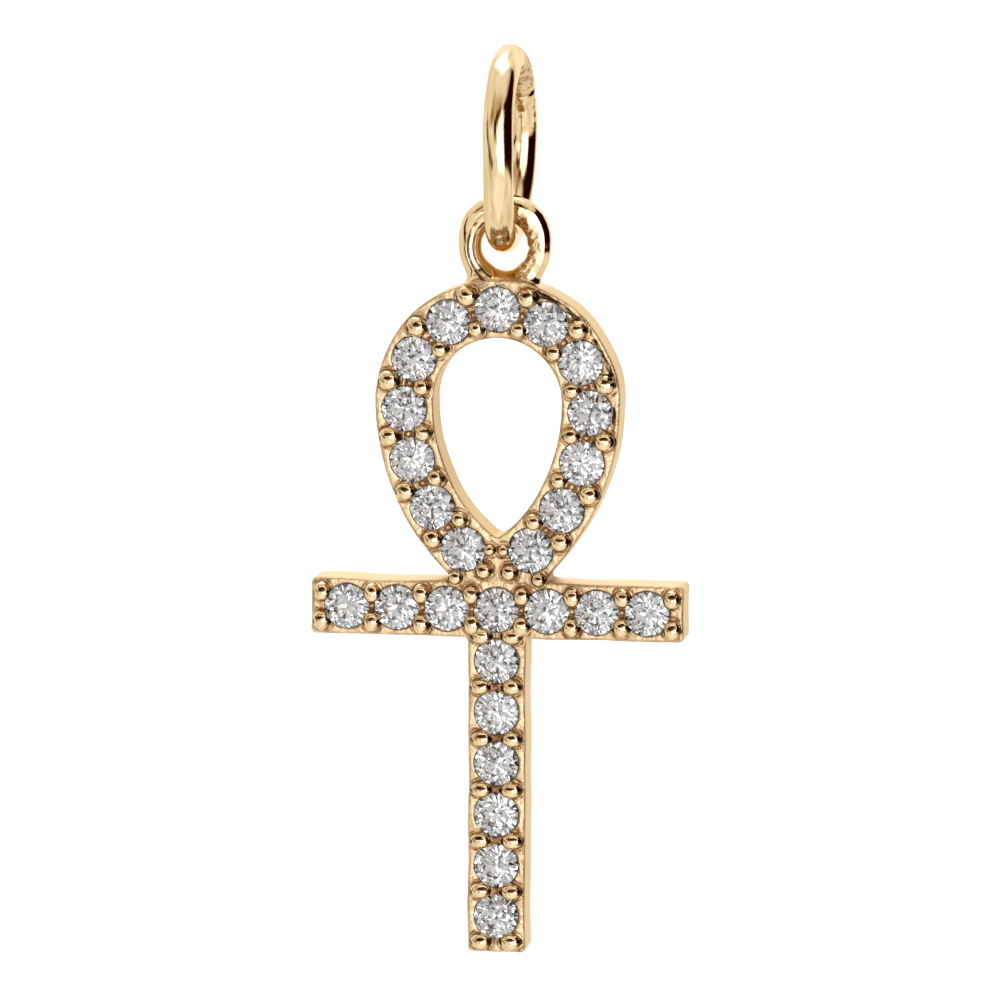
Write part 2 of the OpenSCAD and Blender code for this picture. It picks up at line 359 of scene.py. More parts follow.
BRIDGE_HALF, BRIDGE_R, BRIDGE_FLAT, BRIDGE_SINK, BRIDGE_FILLET = 0.17, 0.175, 1.5, 0.025, 0.05
BRIDGE_DROP, BRIDGE_LUMPS, WAIST, WAIST_W = 0.02, 0.03, 0.05, 0.07
EYE_NARROW, EYE_CROWN, EYE_POWER = 0.955, 0.12, 2.2
EYE_FILL, FILLED_AT, FILL_W = 0.05, (-52, -128), 22
HAMMERED_FROM, HAMMERED_TO, HAMMERED_FADE, HAMMERED_OUT, HAMMERED_EDGE = -62, 78, 15, 0.70, 0.1
DENT, LONG_DENT, DENT_DEPTH = 0.011, 0.014, 0.2
NEARBY = 0.5
eye_z = ankh_high[2] - EYE_WIRE - EYE_HOLE / 2


# %% The metal
# Middle of each gap between two neighbouring stones, as x and z
channels = np.concatenate([(run[1:] + run[:-1]) / 2 for run in (loop_row, bar_row)])
bridges = (shaft_row[1:] + shaft_row[:-1]) / 2 + [0, -BRIDGE_DROP]


def plan(x, z):
    """Distance in the plane of the face to the loop, the crossbar and the shaft. On the loop it is how
    far the point lies from the band's centre line, less half the band's width."""
    height = z - LOOP_Z
    soft_x = np.sqrt(x * x + TIP * TIP)
    out = np.where(height >= 0, np.hypot(x, height), np.hypot(soft_x + SIDE_X, height) - SIDE_X) - ROW_R
    loop = np.abs(out) - BAND_W / 2
    bar = rounded_box(x, z - BAR_Z, BAR_L / 2, BAR_H / 2, BAR_CORNER)
    shaft_mid = (BAR_Z + FOOT_Z) / 2
    shaft = rounded_box(x, z - shaft_mid, SHAFT_W / 2, (BAR_Z - FOOT_Z) / 2, SHAFT_CORNER)
    whole = melt(melt(loop, bar, LOOP_FILLET), shaft, SHAFT_FILLET)
    return whole + OUTLINE_INSET + OUTLINE_WAVE * edge_waves(x, z)


def near(points, centre, reach):
    """Which points lie within a box of that reach round a centre in the plane of the face."""
    return np.flatnonzero((np.abs(points[:, 0] - centre[0]) < reach)
                          & (np.abs(points[:, 2] - centre[1]) < reach))


def stone_room(points, centre):
    """Distance into the room of one stone: inside its width, under its crown's slope and over its
    pavilion's slope, or in the light hole behind it."""
    radius = np.hypot(points[:, 0] - centre[0], points[:, 2] - centre[1])
    height = GIRDLE_Y - points[:, 1]
    full = STONE_D / 2
    crown = math.hypot(full - TABLE_D / 2, CROWN_H)
    over = ((height - GIRDLE_H / 2) * (full - TABLE_D / 2) + (radius - full) * CROWN_H) / crown
    pavilion = math.hypot(full, PAVILION_H)
    under = ((-height - GIRDLE_H / 2) * full + (radius - full) * PAVILION_H) / pavilion
    table_window = radius - TABLE_D / 2
    room = np.maximum(np.maximum(radius - full, np.minimum(over, table_window)), under) - SEAT_GAP
    hole = np.maximum(radius - LIGHT_HOLE / 2, GIRDLE_Y - points[:, 1])
    return np.minimum(room, hole)


def rim_share(x, z):
    """How much of the graver's line there is inside the loop's outer edge: a trace at the upper left,
    most at the upper right, and none below. It is broken by the waves of the face."""
    bearing = np.degrees(np.arctan2(x, z - LOOP_Z))
    share = np.clip((bearing - GRAVED_DEEP) / GRAVED_STEP, GRAVED_FAINT, 1)
    share = share * np.clip((GRAVED_TO - bearing) / GRAVED_FADE, 0, 1)
    share = share * np.clip((bearing - GRAVED_FROM) / GRAVED_FADE, 0, 1)
    outer_half = (np.hypot(x, z - LOOP_Z) > ROW_R) & (z > BAR_Z + GRAVED_ABOVE)
    return share * outer_half * np.clip(GRAVED_MEAN + GRAVED_BREAKS * face_waves(x + 3, z), 0, 1)


def hammered_share(aside, y, height):
    """One on the right inner side of the eye's front, nought elsewhere."""
    bearing = np.degrees(np.arctan2(height, aside))
    in_turn = (np.clip((bearing - HAMMERED_FROM) / HAMMERED_FADE, 0, 1)
               * np.clip((HAMMERED_TO - bearing) / HAMMERED_FADE, 0, 1))
    reach = EYE_HOLE / 2 + HAMMERED_OUT * EYE_WIRE
    return in_turn * np.clip((reach - np.hypot(aside, height)) / HAMMERED_EDGE, 0, 1) * (y < 0)


def eye_wire(aside, y, height):
    """Distance to the eye: a ring with a squarish section, thicker at its crown. The hole is filled a
    little at its two lower corners, and its right inner side is hammered."""
    crown = EYE_CROWN * np.clip(height, 0, 1)
    bearing = np.degrees(np.arctan2(height, aside))
    fill = EYE_FILL * sum(np.exp(-(((bearing - at) / FILL_W) ** 2)) for at in FILLED_AT)
    from_middle = np.hypot(aside, height)
    off = from_middle - (EYE_HOLE - fill + EYE_WIRE + crown) / 2
    power = np.where(off > 0, EYE_POWER, 2.0)
    section = (np.abs(off) ** power + np.abs(y) ** power) ** (1 / power)
    hammered = hammered_share(aside, y, height) * np.clip(-y / DENT_DEPTH, 0, 1)
    dents = hammered * (DENT * hammer_marks(aside, height) + LONG_DENT * face_grain(aside + y, height))
    return section - (EYE_WIRE + fill + crown) / 2 + dents


def metal(points):
    """Distance from each point, in millimetres from the ankh's middle, to the surface of the casting.
    The plate's face sinks by its grooves, channels and waves. The eye, the bridges and the beads are
    melted on to the plate, and the rooms of the stones are cut out of all that."""
    x, y, z = points.T
    sink = np.zeros_like(x)
    for bx, bz, size, long_x, long_z in beads:
        close = near(points, (bx, bz), size)
        from_rim = np.hypot((x[close] - bx) / long_x, (z[close] - bz) / long_z) - size / 2 - GROOVE_W
        sink[close] = np.maximum(sink[close], GROOVE * np.exp(-((from_rim / GROOVE_W) ** 2)))
    for cx, cz in channels:
        close = near(points, (cx, cz), NEARBY)
        off = np.hypot(x[close] - cx, z[close] - cz)
        sink[close] = np.maximum(sink[close], CHANNEL * np.exp(-((off / CHANNEL_R) ** 4)))
    outline = plan(x, z)
    sink += rim_share(x, z) * RIM_GROOVE * np.exp(-(((outline + RIM_AT) / RIM_W) ** 2))
    sink += FACE_SINK + FACE_WAVE * face_waves(x, z) + FACE_GRAIN * face_grain(x, z)
    sink += FACE_FINE * fine_grain(x, z)
    sideways = outline + EDGE
    through = np.maximum(FACE + sink - y, y - HALF) + EDGE
    outside = np.hypot(np.maximum(sideways, 0), np.maximum(through, 0))
    plate = outside + np.minimum(np.maximum(sideways, through), 0) - EDGE
    aside, height = (x - EYE_ASIDE) / EYE_NARROW, z - eye_z
    eye = eye_wire(aside, y, height)
    whole = melt(plate, eye, EYE_FILLET)
    for bx, bz in bridges:
        close = near(points, (bx, bz), NEARBY)
        past = np.maximum(np.abs(x[close] - bx) - BRIDGE_HALF, 0)
        deep = (y[close] - FACE - BRIDGE_SINK) * BRIDGE_FLAT
        lumps = BRIDGE_LUMPS * hammer_marks(x[close], z[close])
        lumps += WAIST * np.exp(-(((x[close] - bx) / WAIST_W) ** 2))
        bridge = np.sqrt(past**2 + (z[close] - bz) ** 2 + deep**2) - BRIDGE_R + lumps
        whole[close] = melt(whole[close], bridge, BRIDGE_FILLET)
    for bx, bz, size, long_x, long_z in beads:
        close = near(points, (bx, bz), size)
        wide = np.hypot((x[close] - bx) / long_x, (z[close] - bz) / long_z)
        tall = np.abs(y[close] - FACE + BEAD_LIFT) / BEAD_TALL
        bead = (wide**BEAD_POWER + tall**BEAD_POWER) ** (1 / BEAD_POWER) - size / 2
        whole[close] = melt(whole[close], bead, BEAD_FILLET)
    for centre in stones:
        close = near(points, centre, STONE_D)
        whole[close] = cut(whole[close], stone_room(points[close], centre), SOFT_EDGE)
    return whole


# %% [markdown]
# ## Laying the skin
# The distance is worked out on a lattice of points. Where it changes sign inside a lattice cell, the
# cell gets one vertex, and four cells round a crossed lattice line give one face. That is a surface
# net. All cells are handled as whole arrays. Each vertex then slides along the slope of the distance
# until it lies on the metal, so the skin is smoother than the lattice.

# %% Surface net
def surface_net(values, axes):
    """Vertices and four-sided faces of the surface where values, given on a lattice, change sign. A
    vertex is the mean of the crossings on its cell's twelve lines."""
    solid = values < 0
    shape = np.array(values.shape) - 1
    corner = [(i, j, k) for i in (0, 1) for j in (0, 1) for k in (0, 1)]
    count = sum(solid[i:i + shape[0], j:j + shape[1], k:k + shape[2]].astype(np.int8) for i, j, k in corner)
    cells = np.argwhere((count > 0) & (count < 8))
    number = np.full(shape, -1)
    number[tuple(cells.T)] = np.arange(len(cells))
    total, hits = np.zeros((len(cells), 3)), np.zeros(len(cells))
    for a in corner:
        for axis in range(3):
            if a[axis]:
                continue
            first = cells + a
            second = first.copy()
            second[:, axis] += 1
            va, vb = values[tuple(first.T)], values[tuple(second.T)]
            crossed = (va < 0) != (vb < 0)
            share = np.where(crossed, va / np.where(crossed, va - vb, 1), 0)
            place = np.column_stack([axes[n][first[:, n]] for n in range(3)])
            place[:, axis] += share * (axes[axis][second[:, axis]] - axes[axis][first[:, axis]])
            total += place * crossed[:, None]
            hits += crossed
    faces = []
    for axis in range(3):
        b, c = (axis + 1) % 3, (axis + 2) % 3
        here = [slice(None)] * 3
        there = [slice(None)] * 3
        here[axis], there[axis] = slice(None, -1), slice(1, None)
        change = np.argwhere(solid[tuple(here)] != solid[tuple(there)])
        ring = []
        for step_b, step_c in ((1, 1), (0, 1), (0, 0), (1, 0)):
            cell = change.copy()
            cell[:, b] -= step_b
            cell[:, c] -= step_c
            ring.append(number[tuple(cell.T)])
        ring = np.column_stack(ring)
        inward = ~solid[tuple(here)][tuple(change.T)]
        ring[inward] = ring[inward][:, ::-1]
        faces.append(ring)
    return total / hits[:, None], np.concatenate(faces)


def slope(points, step=0.003):
    """How the distance grows along x, y and z, from the difference of two near points each way."""
    grown = []
    for axis in range(3):
        shift = np.zeros(3)
        shift[axis] = step
        grown.append((metal(points + shift) - metal(points - shift)) / (2 * step))
    return np.column_stack(grown)


def lattice(*stretches):
    """Lattice lines from stretches of start, end and spacing, joined end to end."""
    lines = [np.linspace(a, b, round((b - a) / step), endpoint=False) for a, b, step in stretches]
    return np.concatenate(lines + [[stretches[-1][1]]])


CELL, FRONT_CELL, MIDDLE_CELL = 0.058, 0.05, 0.12
ASIDE_TO, BEAD_ROOM, BACK_ROOM, FOOT_ROOM, HEAD_ROOM = 5.75, 0.42, 0.12, 0.25, 0.2
FINE_FRONT, FINE_BACK = 0.2, 0.15
SLIDES, MOST_STEP, LEAST_STEEP = 3, 0.03, 0.25
front_end, back_start = FACE + FINE_FRONT, HALF - FINE_BACK
axes = (lattice((-ASIDE_TO, ASIDE_TO, CELL)),
        lattice((FACE - BEAD_ROOM, front_end, FRONT_CELL), (front_end, back_start, MIDDLE_CELL),
                (back_start, HALF + BACK_ROOM, CELL)),
        lattice((FOOT_Z - FOOT_ROOM, ankh_high[2] + HEAD_ROOM, CELL)))
grid = np.stack(np.meshgrid(*axes, indexing="ij"), -1).reshape(-1, 3)
values = metal(grid).reshape([len(a) for a in axes])
skin, faces = surface_net(values, axes)
for _ in range(SLIDES):
    way = slope(skin)
    steep = np.maximum((way**2).sum(1), LEAST_STEEP)
    skin -= np.clip(metal(skin) / steep, -MOST_STEP, MOST_STEP)[:, None] * way
print("lattice %s, skin of %d vertices and %d faces" % (values.shape, len(skin), len(faces)))

# %% [markdown]
# ## What the finish needs to know
# Polishing reaches the tops and not the crevices, and the graver's tool leaves its line in set places.
# The finish also paints shade into hidden places and dark reflections on the beads and the eye. So
# eight numbers or rows of numbers are kept at each vertex for the finish. One says how hidden the place
# is, from the distance a little way off the surface, and so how much shade is painted there. Others say
# how grainy the cast surface was left there, how far it lies from the nearest bead and which way, how
# deep inside the outline, how much of the graver's line it has, how far it lies from the eye's middle
# line, and whether it is on one of the satin walls.

# %% How hidden each place is
NEAR_REACH, FAR_REACH, NEAR_SHARE, FRONT_DEEP = 0.14, 0.3, 0.6, 0.3
CHANNEL_SHADE, CHANNEL_WIDE, BRIDGE_SHADE, BRIDGE_WIDE = 0.8, 0.17, 0.95, 0.24
normal = slope(skin)
normal /= np.linalg.norm(normal, axis=1)[:, None]
x, y, z = skin.T
front = y < FACE + FRONT_DEEP


def hidden(reach):
    """Share of the open distance that is missing at that reach off the surface."""
    return np.clip(1 - metal(skin + normal * reach) / reach, 0, 1)


# How hidden each place is, which the finish paints as shade into the base colour; the painted shade is
# deepest in the channels between stones and on the shaft's bridges
crevice_shade = NEAR_SHARE * hidden(NEAR_REACH) + (1 - NEAR_SHARE) * hidden(FAR_REACH)
for row, most, wide in ((channels, CHANNEL_SHADE, CHANNEL_WIDE), (bridges, BRIDGE_SHADE, BRIDGE_WIDE)):
    for cx, cz in row:
        off = np.hypot(x - cx, z - cz)
        crevice_shade = np.maximum(crevice_shade, most * front * np.exp(-((off / wide) ** 4)))

# %% Beads, lines, grain and satin
BEYOND, OFF_EYE, WALL_LEAN, GRAIN_DEEP, GRAIN_FADE, BEAD_FADE = 3.0, 2.0, 0.5, 0.25, 0.2, 0.04
EYE_FEET, PAINTED_LINES_ASIDE, PAINTED_LINES_TO, SATIN_FROM, SATIN_BELOW_EYE = -1.0, -0.3, 0.75, 0.05, 1.2
OPENING_UP, OPENING_ROOM, OPENING_HALF, OPENING_FOOT = 0.3, 0.5, 1.9, 1.2
WALL_GRAIN, EYE_GRAIN = 0.2, 0.5
bead_gap, bead_way = np.full(len(skin), BEYOND), np.full(len(skin), BEYOND)
from_bead = np.full((len(skin), 3), BEYOND)
for bx, bz, size, long_x, long_z in beads:
    dx, dz = (x - bx) / (long_x * size / 2), (z - bz) / (long_z * size / 2)
    reach = np.sqrt(dx**2 + dz**2 + ((y - FACE + BEAD_LIFT) / (size / 2)) ** 2)
    bead_gap = np.minimum(bead_gap, (reach - 1) * size / 2)
    closer = np.flatnonzero(front & (np.hypot(dx, dz) < bead_way))
    bead_way[closer] = np.hypot(dx, dz)[closer]
    from_bead[closer] = np.column_stack([dx, dz, np.zeros_like(dx)])[closer]
rim = np.where(front, -plan(x, z), 0)
rim_line = front * rim_share(x, z)
eye_aside, eye_height = (x - EYE_ASIDE) / EYE_NARROW, z - eye_z
# Where the eye's two painted dark reflections lie
on_left = (y < 0) & (eye_aside < PAINTED_LINES_ASIDE) & (eye_height > EYE_FEET) & (eye_height < PAINTED_LINES_TO)
eye_line = np.where(on_left, np.hypot(eye_aside, eye_height) - (EYE_HOLE + EYE_WIRE) / 2, OFF_EYE)
upright_wall = np.abs(normal[:, 1]) < WALL_LEAN
satin = upright_wall & (y > FACE + SATIN_FROM) & (z < eye_z - SATIN_BELOW_EYE)
on_face = np.clip((FACE + GRAIN_DEEP - y) / GRAIN_FADE, 0, 1) * np.clip(bead_gap / BEAD_FADE, 0, 1)
in_opening = (np.hypot(x, z - LOOP_Z - OPENING_UP) < ROUND_R + OPENING_ROOM) | (
    (np.abs(x) < OPENING_HALF) & (z < LOOP_Z) & (z > BAR_Z + OPENING_FOOT))
opening_wall = in_opening * upright_wall * (np.abs(y) < HALF)
at_eye = hammered_share(eye_aside, y, eye_height) * (eye_height > EYE_FEET)
grain = np.clip(np.maximum(np.maximum(on_face, WALL_GRAIN * opening_wall), EYE_GRAIN * at_eye), 0, 1)
print("crevice mean %.2f, grain mean %.2f" % (crevice_shade.mean(), grain.mean()))

# %% The casting's piece
def new_piece(name, places, rings):
    """A smooth mesh object from places in metres and faces given as rings of vertex numbers."""
    mesh = bpy.data.meshes.new(name)
    mesh.from_pydata(places.tolist(), [], rings.tolist())
    mesh.validate()
    mesh.polygons.foreach_set("use_smooth", np.ones(len(mesh.polygons), bool))
    piece = bpy.data.objects.new(name, mesh)
    bpy.context.scene.collection.objects.link(piece)
    return piece


def keep(piece, name, numbers):
    """Stores one number, or one row of three, for each vertex, for the finish to read."""
    numbers = np.asarray(numbers, np.float32)
    kind, field = ("FLOAT", "value") if numbers.ndim == 1 else ("FLOAT_VECTOR", "vector")
    layer = piece.data.attributes.new(name, kind, "POINT")
    layer.data.foreach_set(field, numbers.ravel())


placed = (skin + [MIDDLE, 0, 0]) * MM
casting = new_piece("cast_ankh", placed, faces)
kept = {"crevice_shade": crevice_shade, "grain": grain, "bead_way": bead_way, "from_bead": from_bead,
        "rim": rim, "rim_line": rim_line, "eye_line": eye_line, "satin": satin}
for title, numbers in kept.items():
    keep(casting, title, numbers)
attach(casting, "ankh")
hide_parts("ankh_frame")

# %% [markdown]
# ## The jump ring
# The ring is drawn wire, wound to a circle and soldered. A plain torus would do for its form, but a
# real one shows how it was made: the wire is a little uneven, and the soldered joint is a low wrinkled
# collar on its far side. So a round profile is carried along a circle, and both change its radius.
# Directions on it are in radians, around from the ring's top towards its back, and across from its
# outside. The whole ring's turn and lean are in degrees.

# %% Carrying the wire round the ring
RING_OD, RING_WIRE, RING_TURN, RING_LEAN = 6.12, 0.9, 2.0, 1.6
WIRE_INSET, WIRE_WAVE = 0.006, 0.003
SEAM, SEAM_RISE, SEAM_REACH, SEAM_TRACE, TRACE_REACH = 0.89, 0.42, 0.42, 0.4, 0.4
SEAM_WAVE, SEAM_FOLD, SEAM_STEP, STEP_W, STEP_REACH = 0.007, 0.0025, 0.012, 0.03, 0.3
NOTCH, NOTCH_AT, NOTCH_W, NOTCH_SIDE = 0.07, 0.02, 0.022, 0.9
RING_BEND, TOP_BEND = 0.085, 0.03
FRONT_BOW, FRONT_AT, FRONT_REACH = 0.065, 2 * math.pi - 1.05, 0.5
wire_waves, seam_waves, seam_folds = Ripple(1.5), Ripple(0.34), Ripple(0.16)


def seam_share(around):
    """How much of the soldering is left on the wire: most just above the joint, and a trace below."""
    above = np.exp(-(((around - SEAM + SEAM_RISE) / SEAM_REACH) ** 4))
    return np.where(around < SEAM, above, SEAM_TRACE * np.exp(-(((around - SEAM) / TRACE_REACH) ** 2)))


def ring_wire(around, section):
    """The place of a point on the ring. The middle of the wire goes round a circle that stands front to
    back, and the section's circle is set on it. The circle is bent a little to one side."""
    middle_r = (RING_OD - RING_WIRE) / 2
    along = around * middle_r
    soldered = seam_share(around)
    radius = RING_WIRE / 2 - WIRE_INSET + WIRE_WAVE * wire_waves(along, section)
    girth = section * RING_WIRE / 2
    radius += soldered * (SEAM_WAVE * seam_waves(along, girth) + SEAM_FOLD * seam_folds(along, girth))
    step = np.clip((SEAM - around) / STEP_W, 0, 1) * np.exp(-(((around - SEAM) / STEP_REACH) ** 2))
    notch = np.exp(-(((around - SEAM - NOTCH_AT) / NOTCH_W) ** 2))
    notch = notch * (0.5 + 0.5 * np.cos(section - NOTCH_SIDE))
    radius += SEAM_STEP * step - NOTCH * notch
    out = middle_r + radius * np.cos(section)
    bend = RING_BEND * np.sin(around) ** 2 - TOP_BEND * np.cos(around / 2) ** 8
    bend -= FRONT_BOW * np.exp(-(((around - FRONT_AT) / FRONT_REACH) ** 2))
    return np.stack([bend + radius * np.sin(section), out * np.sin(around), out * np.cos(around)], -1)


AROUND, SECTION = 720, 72
around, section = np.meshgrid(np.arange(AROUND) * 2 * np.pi / AROUND,
                              np.arange(SECTION) * 2 * np.pi / SECTION, indexing="ij")
wire = ring_wire(around, section).reshape(-1, 3)
# The frame's origin is the top of the ring's hole
wire[:, 2] -= RING_OD / 2 - RING_WIRE
turned = Matrix.Rotation(math.radians(RING_LEAN), 3, "Y") @ Matrix.Rotation(math.radians(RING_TURN), 3, "Z")
wire = wire @ np.array(turned).T
number = np.arange(AROUND * SECTION).reshape(AROUND, SECTION)
after, beside = np.roll(number, -1, 0), np.roll(number, -1, 1)
wire_faces = np.stack([number, after, np.roll(after, -1, 1), beside], -1).reshape(-1, 4)
ring_low, ring_high = corners("jump_ring")
print("ring skin to CAD ring, lowest and highest corners:",
      (wire.min(0) - ring_low).round(3), (wire.max(0) - ring_high).round(3))

# %% The ring's piece
ring = new_piece("wire_ring", wire * MM, wire_faces)
keep(ring, "seam", seam_share(around).ravel())
loops = np.zeros(len(ring.data.loops), int)
ring.data.loops.foreach_get("vertex_index", loops)
lap = np.column_stack([around.ravel(), section.ravel()])[loops].reshape(-1, 4, 2)
# A face that closes a circle counts on past the full turn and not back to nought
lap += 2 * np.pi * (lap.max(1)[:, None] - lap > np.pi)
uv = ring.data.uv_layers.new(name="along_wire")
uv.data.foreach_set("uv", (lap / (2 * np.pi)).reshape(-1))
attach(ring, "ring")
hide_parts("jump_ring")

# %% [markdown]
# ## Cast gold
# Yellow gold has its colour in its reflection, so it is a metal with a base colour and no other layer.
# What tells a casting from a sheet is the surface: matt and pitted between the stones, finely grainy
# in the opening and on the eye's inner side, satin on the walls and bright on the beads. Shade is
# painted into the crevices, and dark reflections are painted on the beads and the eye's left side. The
# numbers kept at the vertices steer that, and noise in object coordinates gives the grain.

# %% Where the marks lie
GOLD = colour(0.915, 0.713, 0.414)
DEEP_GOLD = colour(0.34, 0.13, 0.03)
GOLD_EDGE = colour(0.97, 0.88, 0.70)
# Near-black painted for dark reflections on the beads and the eye and for shade in the graver's line and
# the collars
PAINTED_BLACK = colour(0.03, 0.010, 0.003)

cast_gold, paint = finish("cast_gold_finish")
place = paint.node("ShaderNodeTexCoord", out="Object")
cloud, ripples = noise(paint, place, 900.0), noise(paint, place, 2600.0)
wobble, blobs, ledges = (noise(paint, place, scale) for scale in (5200.0, 2100.0, 4200.0))
mottle, grit = noise(paint, place, 6500.0, 3.0), noise(paint, place, 15000.0)
rough_cast, hollow_shade = attribute(paint, "grain"), attribute(paint, "crevice_shade")
depth, graved = attribute(paint, "rim"), attribute(paint, "rim_line")

# Way and direction from the nearest bead's middle, in its own radii, shaken so that no two marks agree
way = attribute(paint, "bead_way")
apart = paint.node("ShaderNodeSeparateXYZ", None, {0: attribute(paint, "from_bead", "Vector")})
aside = apart + (cloud - 0.5) * 0.6
above = apart.other(1) + (blobs - 0.5) * 0.5
shake = wobble - 0.5
on_bead = 1 - way.rise(0.9, 1.0)
# A ring of painted shade, with a slight bump groove, round each bead's foot
collar = line(way + shake * 0.2, 1.06, 0.07) * blobs.rise(0.36, 0.56)

# Painted dark reflections on the beads: a spot above the middle of each, with a slight dent, and dark sides
# where it meets the stones
from_reflection_spot = ((aside - 0.10) * 0.5) ** 2.0 + ((above - 0.34) * 1.2) ** 2.0
from_reflection_spot = paint.maths("SQRT", from_reflection_spot) + shake * 0.4
reflection_spot = (1 - from_reflection_spot.rise(0.20, 0.30)) * on_bead
reflection_spot_core = 1 - from_reflection_spot.rise(0.14, 0.22)
right_reflection = aside.rise(0.2, 0.3) * line(above, -0.05, 0.5)
left_reflection = (1 - aside.rise(-0.4, -0.3)) * line(above, -0.12, 0.36)
side_reflections = line(way + shake * 0.35, 0.92, 0.26) * (right_reflection + left_reflection)

# Painted shade in the graver's line and just inside the face's edge, and two painted dark reflections, with
# slight grooves, along the eye's left side
# The graver's line is a real groove; the near-black in it is painted shade
graver = line(depth + shake * 0.16, 0.16, 0.075) * graved * blobs.rise(0.42, 0.52)
along_eye = attribute(paint, "eye_line") + (cloud - 0.5) * 0.1
# Two dark reflections painted along the eye's left side, with slight bump grooves
painted_eye_lines = (line(along_eye, 0.02, 0.06) + line(along_eye, -0.16, 0.045)) * blobs.rise(0.25, 0.4)
# Painted shade just inside the face's outline
edge = line(depth, 0.04, 0.045) * 0.35 * blobs.rise(0.35, 0.6)

# %% The cast gold's finish
deep = mottle.rise(0.35, 0.75) * 0.13 + cloud.rise(0.47, 0.62) * 0.09 + grit.rise(0.47, 0.62) * 0.13
# The share of deep gold: painted shade in hidden places, less on the beads, plus the cast grain's own
# mottle
tone = hollow_shade.rise(0.36, 1.0) * (0.68 - on_bead * 0.4) + rough_cast * deep
# Then a random tone, and painted shade in the collar rings, over the reflection spots and just inside the
# face's edge
tone = tone + (cloud - 0.5) * 0.08 + collar * 0.5 + reflection_spot * 0.8 + edge
# How much painted near-black: dark reflections on the beads and the eye, and shade in the graver's line and
# the collars
painted_black_share = reflection_spot * (0.3 + reflection_spot_core * 0.66) + side_reflections * 0.99 + graver * 0.95 + collar * 0.1 + painted_eye_lines * 0.85
height = (mottle * 0.5 + ledges.rise(0.48, 0.60) * 0.25 + grit * 0.3) * rough_cast + ripples * 0.25
height = height - reflection_spot * 0.3 - graver * 2.0 - collar * 0.5 - painted_eye_lines * 0.5
roughness = 0.08 + rough_cast * 0.32 + attribute(paint, "satin") * 0.3
roughness = roughness + hollow_shade * 0.2 + reflection_spot * 0.2 + (cloud - 0.5) * 0.06
principled(paint, {
    "Base Color": painted_black_share.between(tone.between(GOLD, DEEP_GOLD), PAINTED_BLACK),
    "Metallic": 1.0,
    "Specular Tint": GOLD_EDGE,
    "Roughness": roughness,
    "Normal": bump(paint, height, 0.00004),
})
casting.data.materials.append(cast_gold)

# %% [markdown]
# ## Drawn gold wire
# The ring is the same gold with a drawn and polished surface. Its marks run along the wire, so they
# follow the wire's own map: noise that is drawn out along it, about thirty-five times as long as wide.

# %% The wire's finish
wire_gold, paint = finish("drawn_gold_finish")
lie = paint.node("ShaderNodeUVMap", {"uv_map": "along_wire"})
place = paint.node("ShaderNodeTexCoord", out="Object")
stretched = paint.node("ShaderNodeMapping", None, {"Vector": lie, "Scale": (5.0, 30.0, 1.0)})
lines = noise(paint, stretched, 2.0, 4.0)
smudges = noise(paint, place, 700.0, 3.0)
at_seam = attribute(paint, "seam")
wrinkles = noise(paint, place, 5200.0, 3.0)
principled(paint, {
    "Base Color": (at_seam * wrinkles.rise(0.45, 0.68) * 0.7).between(GOLD, DEEP_GOLD),
    "Metallic": 1.0,
    "Specular Tint": GOLD_EDGE,
    "Roughness": 0.06 + smudges.rise(0.45, 0.75) * 0.08 + at_seam * 0.25,
    "Normal": bump(paint, lines * 0.15 + wrinkles * at_seam * 2.2, 0.00003),
})
ring.data.materials.append(wire_gold)

# %% [markdown]
# ## The cut stones
# The stones keep the CAD part's facets, because a cut stone is flat facets and sharp edges and nothing
# else. Their look is all refraction: light comes in through the table, turns at the pavilion and comes
# out again, so the finish is a clear dielectric with the high refractive index of the real stone. Real
# ones have a breath of polish haze, which a faint noise in the roughness gives, and their facets are
# never quite flat, which a very faint bump gives.

# %% The stones' finish
STONE_INDEX = 2.16
clear_stone, paint = finish("clear_stone_finish")
place = paint.node("ShaderNodeTexCoord", out="Object")
haze = noise(paint, place, 2500.0)
unevenness = noise(paint, place, 1300.0, 1.0)
principled(paint, {
    "Base Color": haze.between(colour(0.97, 0.97, 0.98), colour(1.0, 1.0, 1.0)),
    "Roughness": haze.rise(0.5, 0.9) * 0.03,
    "IOR": STONE_INDEX,
    "Transmission Weight": 1.0,
    "Normal": bump(paint, unevenness, 0.00001),
})
stone_nodes = [piece for name, piece in nodes.items() if "stone" in name]
for piece in stone_nodes:
    piece.data.materials.clear()
    piece.data.materials.append(clear_stone)
print("stones dressed:", len(stone_nodes))

# %% [markdown]
# ## A photographer's tent
# Polished metal shows the room. The photograph's dark stripes on the wire and dark spots on the beads
# are the gaps and flags of a white tent, so the surroundings are a white room with a few bright and dark
# patches in set directions, worked out from where the stripes lie. Bearings are in degrees from the
# front to the right, and elevations in degrees from level up. The floor is a plain pale disc far below.
# It stays out of the gold's and the stones' reflections and takes a plain even light.

# %% Directions in the tent
tent = bpy.data.worlds.new("tent")
bpy.context.scene.world = tent
tent.use_nodes = True
tent.node_tree.nodes.clear()
air = Wire(tent.node_tree)
towards = air.node("ShaderNodeTexCoord", out="Generated")
east = air.node("ShaderNodeSeparateXYZ", None, {0: towards})
north, high_up = east.other(1), east.other(2)
DEGREES = 180 / math.pi
bearing = air.maths("ARCTAN2", east, north * -1.0) * DEGREES
elevation = air.maths("ARCSINE", high_up) * DEGREES


def span(value, low, high, soft):
    """One between a low and a high value, nought outside, with soft ends."""
    return value.rise(low - soft, low + soft) * (1 - value.rise(high - soft, high + soft))


def patch(left, right, low, high, soft):
    """One inside a range of bearings and elevations, nought outside, with soft edges."""
    return span(bearing, left, right, soft) * span(elevation, low, high, soft)


